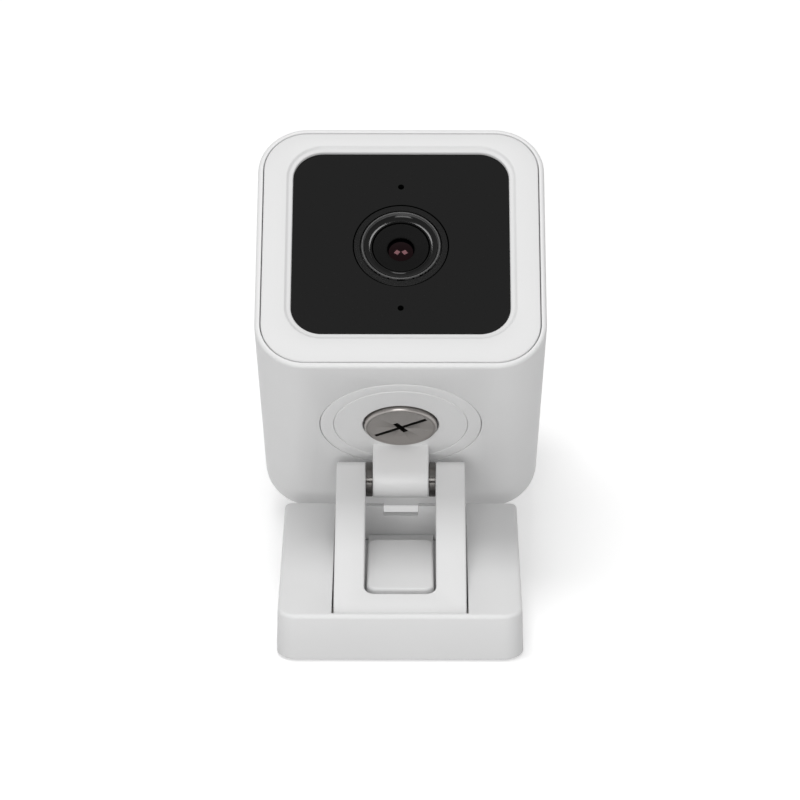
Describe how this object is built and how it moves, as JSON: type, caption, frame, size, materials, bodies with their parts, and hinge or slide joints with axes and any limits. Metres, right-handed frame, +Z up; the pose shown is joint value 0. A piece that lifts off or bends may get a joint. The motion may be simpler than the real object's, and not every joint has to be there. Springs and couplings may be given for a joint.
{
  "type": "security camera",
  "caption": "Cube-shaped security camera with a dark front window and round lens, on a folding arm stand with a square weighted base.",
  "frame": {"origin": "centre of the base's underside", "axes": "+Z up; +Y from the arm's lower pivot towards the neck, so the camera looks towards -Y and up; +X to the right seen from the front"},
  "size_m": [0.0514, 0.0939, 0.0748],
  "materials": {
    "white_shell": "moulded white ABS with a fine satin texture",
    "white_bezel": "moulded white ABS, satin",
    "white_stand": "moulded white ABS with a fine satin texture",
    "white_neck": "moulded white nylon, satin",
    "white_ring": "moulded white ABS, satin",
    "black_window": "black infrared-passing acrylic, polished",
    "black_surround": "black moulded surround, fine satin",
    "black_barrel": "black moulded lens barrel",
    "lens_glass": "coated optical glass",
    "filter_glass": "infrared-cut filter glass",
    "steel_plate": "painted steel sheet",
    "weight_steel": "plain steel blocks",
    "foot_rubber": "soft grey rubber",
    "screw_steel": "nickel-plated turned steel",
    "pin_steel": "ground steel",
    "insert_brass": "turned brass",
    "gasket_foam": "black foam",
    "coil_body": "wound copper coil in a plastic bobbin",
    "chip_body": "moulded package",
    "board_laminate": "green circuit board laminate",
    "led_lens": "clear moulded lens",
    "chassis_plastic": "grey moulded plastic",
    "thermal_gel": "soft silicone pad",
    "sink_aluminium": "rolled aluminium sheet",
    "antenna_film": "polyimide film",
    "speaker_body": "black moulded basket",
    "socket_steel": "stamped tinned steel",
    "switch_body": "moulded switch body",
    "button_plastic": "moulded white plastic",
    "flap_rubber": "soft white silicone rubber"
  },
  "bodies": {
    "base": {"base_cover": "white_stand", "base_plate": "steel_plate", "base_weights": "weight_steel", "rest_pad": "white_stand", "pad_weight": "weight_steel", "foot_pad": "foot_rubber", "base_screws": "screw_steel", "lower_hinge_pin": "pin_steel", "lower_hinge_washers": "pin_steel"},
    "arm": {"stand_arm": "white_stand", "upper_hinge_pin": "pin_steel", "upper_hinge_washers": "pin_steel"},
    "neck": {"neck": "white_neck"},
    "screw": {"mount_screw": "screw_steel"},
    "filter": {"ir_cut_filter": "filter_glass"},
    "button": {"setup_button": "button_plastic"},
    "flap": {"port_flap": "flap_rubber"},
    "head": {"swivel_ring": "white_ring", "swivel_spring": "pin_steel", "thread_insert": "insert_brass", "head_shell": "white_shell", "front_bezel": "white_bezel", "front_window": "black_window", "window_gasket": "gasket_foam", "lens_surround": "black_surround", "lens_barrel": "black_barrel", "front_lens": "lens_glass", "middle_lens": "lens_glass", "rear_lens": "lens_glass", "lens_spacer": "black_barrel", "lens_holder": "black_barrel", "filter_actuator": "coil_body", "image_sensor": "chip_body", "sensor_board": "board_laminate", "ir_leds": "led_lens", "ir_led_board": "board_laminate", "light_sensor": "chip_body", "status_led": "led_lens", "microphone": "chip_body", "chassis": "chassis_plastic", "chassis_screws": "screw_steel", "main_board": "board_laminate", "processor": "chip_body", "thermal_pad": "thermal_gel", "heat_sink": "sink_aluminium", "wifi_antenna": "antenna_film", "sensor_ribbon": "antenna_film", "loudspeaker": "speaker_body", "speaker_gasket": "gasket_foam", "usb_socket": "socket_steel", "card_socket": "socket_steel", "setup_switch": "switch_body"}
  },
  "joints": [
    {"name": "arm_fold", "type": "hinge", "parent": "base", "child": "arm", "pos_m": [0, -0.0181, 0.0053], "axis": [1, 0, 0], "range_deg": [-10.7, 70.3]},
    {"name": "neck_tilt", "type": "hinge", "parent": "arm", "child": "neck", "pos_m": [0, 0.01485, 0.0171], "axis": [-1, 0, 0], "range_deg": [-64.7, 16]},
    {"name": "head_swivel", "type": "hinge", "parent": "neck", "child": "head", "pos_m": [0, 0.01291, 0.02879], "axis": [0, 0.809, 0.5878], "continuous": true},
    {"name": "mount_screw_turn", "type": "hinge", "parent": "head", "child": "screw", "pos_m": [0, 0.01291, 0.02879], "axis": [0, 0.809, 0.5878], "continuous": true},
    {"name": "filter_slide", "type": "slide", "parent": "head", "child": "filter", "axis": [1, 0, 0], "range_m": [0, 0.0046]},
    {"name": "setup_press", "type": "slide", "parent": "head", "child": "button", "axis": [0, -0.5878, 0.809], "range_m": [0, 0.0006], "stiffness_N_per_m": 1200, "springref_m": -0.0002},
    {"name": "flap_open", "type": "hinge", "parent": "head", "child": "flap", "pos_m": [0, 0.0441, 0.01146], "axis": [-1, 0, 0], "range_deg": [0, 100]}
  ]
}
